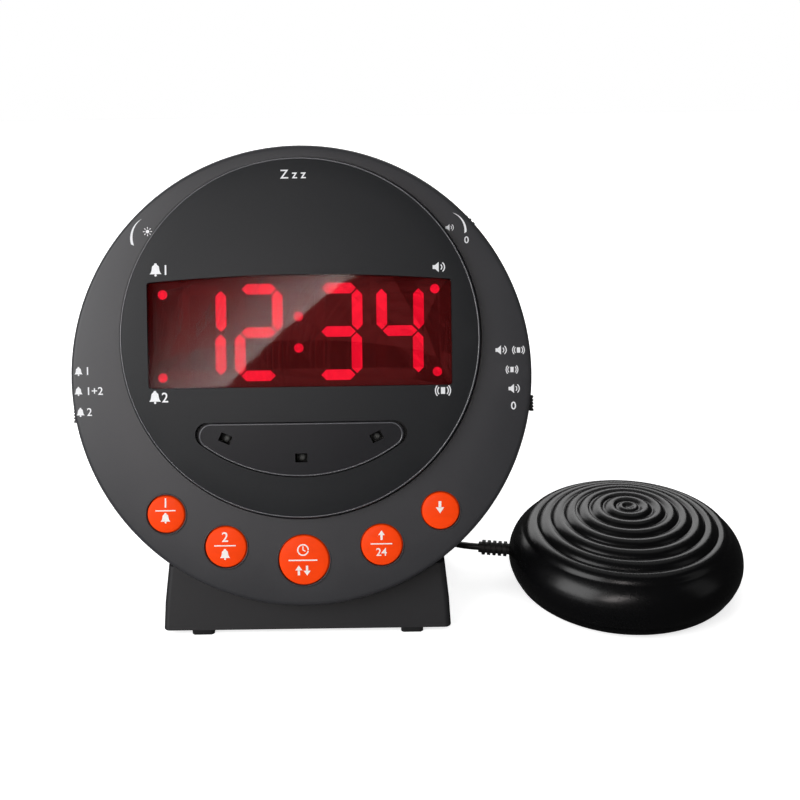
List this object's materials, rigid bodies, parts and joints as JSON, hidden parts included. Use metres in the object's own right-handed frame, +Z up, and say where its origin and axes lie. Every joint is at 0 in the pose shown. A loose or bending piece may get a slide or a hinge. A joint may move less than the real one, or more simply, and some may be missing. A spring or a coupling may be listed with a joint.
{
  "type": "bed shaker alarm clock",
  "caption": "Round tilted digital alarm clock on a small stand, with front buttons, side switches, a snooze bar and a rippled vibrating disc on a lead.",
  "frame": {"origin": "on the table, under the middle of the box round the clock and the shaker, without the lead", "axes": "+X to the viewer's right, from the clock to the shaker; +Y to the back, away from the tilted display; +Z up"},
  "size_m": [0.2202, 0.1509, 0.1473],
  "materials": {
    "grey_case": "fine matt",
    "face_plastic": "satin",
    "dark_plastic": "matt",
    "red_lens": "polished red tint",
    "module_black": "matt",
    "lit_red": "lit",
    "unlit_red": "unlit",
    "clear_led": "clear",
    "orange_button": "satin",
    "switch_black": "matt",
    "board_green": "solder mask",
    "capacitor_sleeve": "sleeve",
    "screw_steel": "zinc plated",
    "battery_steel": "painted can",
    "magnet_iron": "sintered",
    "speaker_paper": "pressed paper",
    "black_rubber": "matt",
    "shaker_plastic": "satin",
    "motor_steel": "plated",
    "weight_brass": "turned",
    "cord_black": "matt"
  },
  "bodies": {
    "clock": {"front_ring": "grey_case", "face_disc": "face_plastic", "rear_case": "grey_case", "stand": "grey_case", "stand_cover": "grey_case", "alert_light_panel": "dark_plastic", "display_lens": "red_lens", "display_module": "module_black", "lit_segments": "lit_red", "unlit_segments": "unlit_red", "alert_leds": "clear_led", "button_switches": "switch_black", "button_board": "board_green", "main_board": "board_green", "snooze_board": "board_green", "controller_chip": "switch_black", "capacitors": "capacitor_sleeve", "board_screws": "screw_steel", "case_screws": "screw_steel", "stand_screws": "screw_steel", "cover_screws": "screw_steel", "dimmer_potentiometer": "switch_black", "volume_potentiometer": "switch_black", "alarm_select_switch": "switch_black", "alert_mode_switch": "switch_black", "snooze_switch": "switch_black", "backup_battery": "battery_steel", "battery_clip": "switch_black", "speaker_frame": "screw_steel", "speaker_magnet": "magnet_iron", "speaker_cone": "speaker_paper", "power_inlet": "switch_black", "rubber_feet": "black_rubber", "shaker_jack": "switch_black"},
    "alarm_one_button": {"alarm_one_button": "orange_button"},
    "alarm_two_button": {"alarm_two_button": "orange_button"},
    "time_button": {"time_button": "orange_button"},
    "up_button": {"up_button": "orange_button"},
    "down_button": {"down_button": "orange_button"},
    "snooze_bar": {"snooze_bar": "grey_case"},
    "dimmer_wheel": {"dimmer_wheel": "dark_plastic"},
    "volume_wheel": {"volume_wheel": "dark_plastic"},
    "alarm_select_knob": {"alarm_select_knob": "dark_plastic"},
    "alert_mode_knob": {"alert_mode_knob": "dark_plastic"},
    "battery_door": {"battery_door": "grey_case"},
    "shaker": {"shaker_top_shell": "shaker_plastic", "shaker_bottom_shell": "shaker_plastic", "shaker_pad": "black_rubber", "shaker_screws": "screw_steel", "shaker_motor": "motor_steel", "motor_bracket": "dark_plastic", "motor_strap": "motor_steel", "strain_relief": "black_rubber", "shaker_cord": "cord_black", "shaker_cord_coil": "cord_black", "plug_cord": "cord_black", "cord_tie": "dark_plastic", "shaker_plug": "black_rubber"},
    "spinning_weight": {"eccentric_weight": "weight_brass", "motor_shaft": "motor_steel"}
  },
  "joints": [
    {"name": "alarm_one_button_press", "type": "slide", "parent": "clock", "child": "alarm_one_button", "axis": [0, 0.9272, -0.3746], "range_m": [0, 0.001], "stiffness_N_per_m": 1500, "springref_m": -0.0003},
    {"name": "alarm_two_button_press", "type": "slide", "parent": "clock", "child": "alarm_two_button", "axis": [0, 0.9272, -0.3746], "range_m": [0, 0.001], "stiffness_N_per_m": 1500, "springref_m": -0.0003},
    {"name": "time_button_press", "type": "slide", "parent": "clock", "child": "time_button", "axis": [0, 0.9272, -0.3746], "range_m": [0, 0.001], "stiffness_N_per_m": 1500, "springref_m": -0.0003},
    {"name": "up_button_press", "type": "slide", "parent": "clock", "child": "up_button", "axis": [0, 0.9272, -0.3746], "range_m": [0, 0.001], "stiffness_N_per_m": 1500, "springref_m": -0.0003},
    {"name": "down_button_press", "type": "slide", "parent": "clock", "child": "down_button", "axis": [0, 0.9272, -0.3746], "range_m": [0, 0.001], "stiffness_N_per_m": 1500, "springref_m": -0.0003},
    {"name": "snooze_press", "type": "slide", "parent": "clock", "child": "snooze_bar", "axis": [0, -0.3746, -0.9272], "range_m": [0, 0.0015], "stiffness_N_per_m": 900, "springref_m": -0.0006},
    {"name": "dimmer_turn", "type": "hinge", "parent": "clock", "child": "dimmer_wheel", "pos_m": [-0.08558, 0.00975, 0.11532], "axis": [0, -0.9272, 0.3746], "range_deg": [0, 270]},
    {"name": "volume_turn", "type": "hinge", "parent": "clock", "child": "volume_wheel", "pos_m": [0.01131, 0.01038, 0.11688], "axis": [0, -0.9272, 0.3746], "range_deg": [0, 300]},
    {"name": "alarm_select_slide", "type": "slide", "parent": "clock", "child": "alarm_select_knob", "axis": [0, 0.3746, 0.9272], "range_m": [0, 0.013]},
    {"name": "alert_mode_slide", "type": "slide", "parent": "clock", "child": "alert_mode_knob", "axis": [0, 0.3746, 0.9272], "range_m": [0, 0.0174]},
    {"name": "battery_door_pull", "type": "slide", "parent": "clock", "child": "battery_door", "axis": [0, 0.9272, -0.3746], "range_m": [0, 0.012]},
    {"name": "shaker_unplug", "type": "slide", "parent": "clock", "child": "shaker", "axis": [0, 1, 0], "range_m": [0, 0.016]},
    {"name": "weight_spin", "type": "hinge", "parent": "shaker", "child": "spinning_weight", "pos_m": [0.0776, -0.00724, 0.0134], "axis": [1, 0, 0], "continuous": true}
  ]
}
